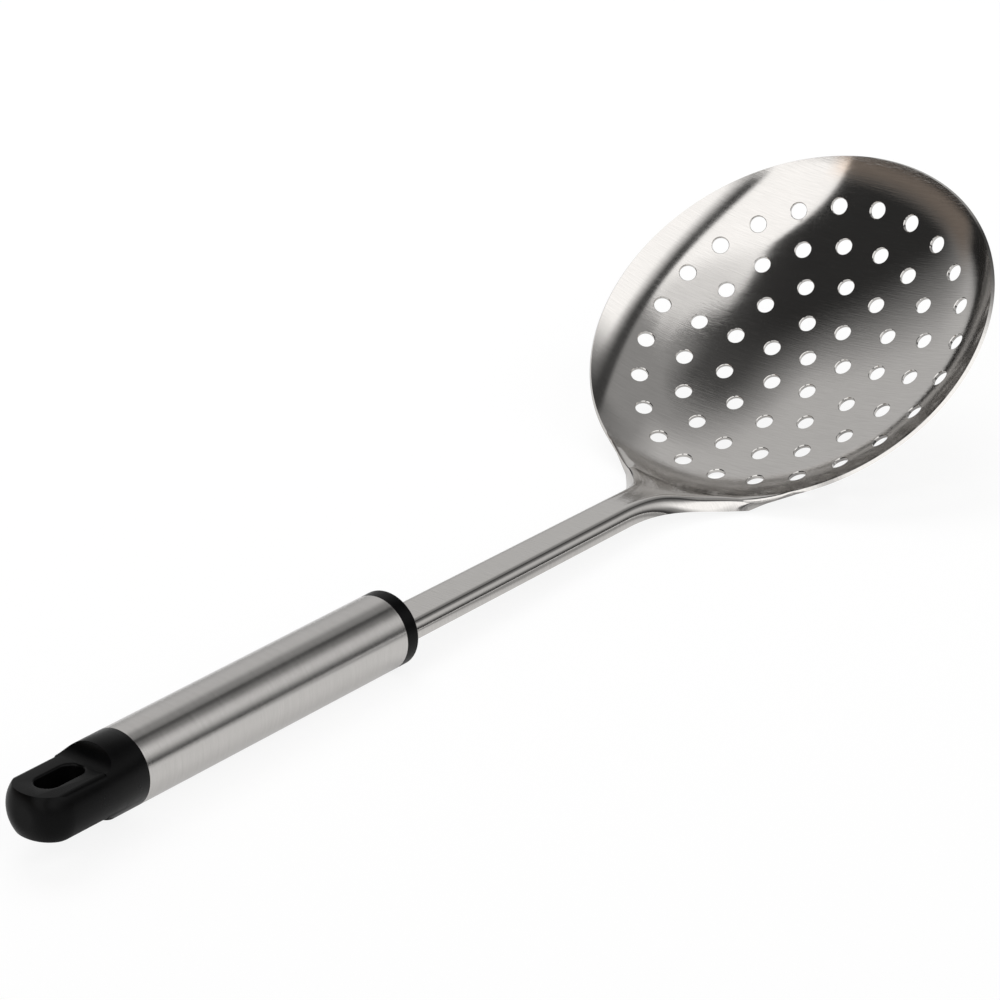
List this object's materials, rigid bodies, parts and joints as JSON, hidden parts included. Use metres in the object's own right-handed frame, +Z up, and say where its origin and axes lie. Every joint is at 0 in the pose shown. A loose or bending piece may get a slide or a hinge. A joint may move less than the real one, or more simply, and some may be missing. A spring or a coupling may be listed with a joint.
{
  "type": "skimmer",
  "caption": "Kitchen skimmer with a perforated shallow steel bowl, a channel stem and a round steel handle with black plastic collar and hanging end cap.",
  "frame": {"origin": "middle of the overall box at the level of the surface that the part lies on", "axes": "+X along the part from the end cap to the bowl, +Y across the bowl, +Z up out of the bowl's hollow, at rest on the bowl's underside and the collar's lower edge"},
  "size_m": [0.3532, 0.1186, 0.0678],
  "materials": {
    "steel_head": "brushed",
    "steel_tube": "satin",
    "black_plastic": "satin"
  },
  "bodies": {
    "root": {"skimmer_head": "steel_head", "front_collar": "black_plastic", "handle_tube": "steel_tube", "end_cap": "black_plastic"}
  },
  "joints": []
}
